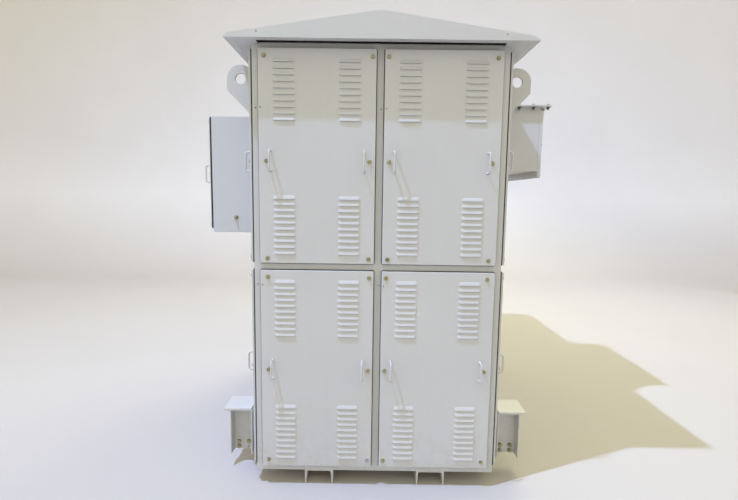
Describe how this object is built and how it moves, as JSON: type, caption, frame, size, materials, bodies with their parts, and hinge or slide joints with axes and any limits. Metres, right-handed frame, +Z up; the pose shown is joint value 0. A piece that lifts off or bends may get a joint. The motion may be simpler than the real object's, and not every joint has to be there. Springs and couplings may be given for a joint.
{
  "type": "power transformer",
  "caption": "Dry-type power transformer in a louvred outdoor sheet-steel enclosure with gable canopy, lifting lugs, jacking brackets, terminal box and cable box.",
  "frame": {"origin": "on the ground under the middle of the whole outline", "axes": "+Z up, the louvred front with the covers faces -Y, the cable box is on +X"},
  "size_m": [2.113, 2.14, 2.387],
  "materials": {
    "sheet_steel": "satin light grey paint",
    "frame_steel": "satin light grey paint",
    "structural_steel": "satin light grey paint",
    "gasket_rubber": "matt black rubber strip",
    "plated_fasteners": "yellow zinc plate"
  },
  "bodies": {
    "root": {"cable_box": "sheet_steel", "cable_box_cover": "sheet_steel", "cable_box_lid": "sheet_steel", "floor_plate": "frame_steel", "front_left_jacking_bar": "structural_steel", "front_left_jacking_bracket": "structural_steel", "front_left_lifting_lug": "structural_steel", "front_lower_left_cover": "sheet_steel", "front_lower_right_cover": "sheet_steel", "front_right_jacking_bar": "structural_steel", "front_right_jacking_bracket": "structural_steel", "front_right_lifting_lug": "structural_steel", "front_upper_left_cover": "sheet_steel", "front_upper_right_cover": "sheet_steel", "left_lower_front_cover": "sheet_steel", "left_lower_middle_cover": "sheet_steel", "left_lower_rear_cover": "sheet_steel", "left_skid": "structural_steel", "left_upper_front_cover": "sheet_steel", "left_upper_middle_cover": "sheet_steel", "left_upper_rear_cover": "sheet_steel", "front_frame": "frame_steel", "rear_frame": "frame_steel", "left_side_frame": "frame_steel", "right_side_frame": "frame_steel", "rear_left_jacking_bar": "structural_steel", "rear_left_jacking_bracket": "structural_steel", "rear_left_lifting_lug": "structural_steel", "rear_lower_left_cover": "sheet_steel", "rear_lower_right_cover": "sheet_steel", "rear_right_jacking_bar": "structural_steel", "rear_right_jacking_bracket": "structural_steel", "rear_right_lifting_lug": "structural_steel", "rear_upper_left_cover": "sheet_steel", "rear_upper_right_cover": "sheet_steel", "right_lower_front_cover": "sheet_steel", "right_lower_middle_cover": "sheet_steel", "right_lower_rear_cover": "sheet_steel", "right_skid": "structural_steel", "right_upper_front_cover": "sheet_steel", "right_upper_middle_cover": "sheet_steel", "right_upper_rear_cover": "sheet_steel", "roof_canopy": "sheet_steel", "terminal_box": "sheet_steel", "terminal_box_cover": "sheet_steel"}
  },
  "joints": []
}
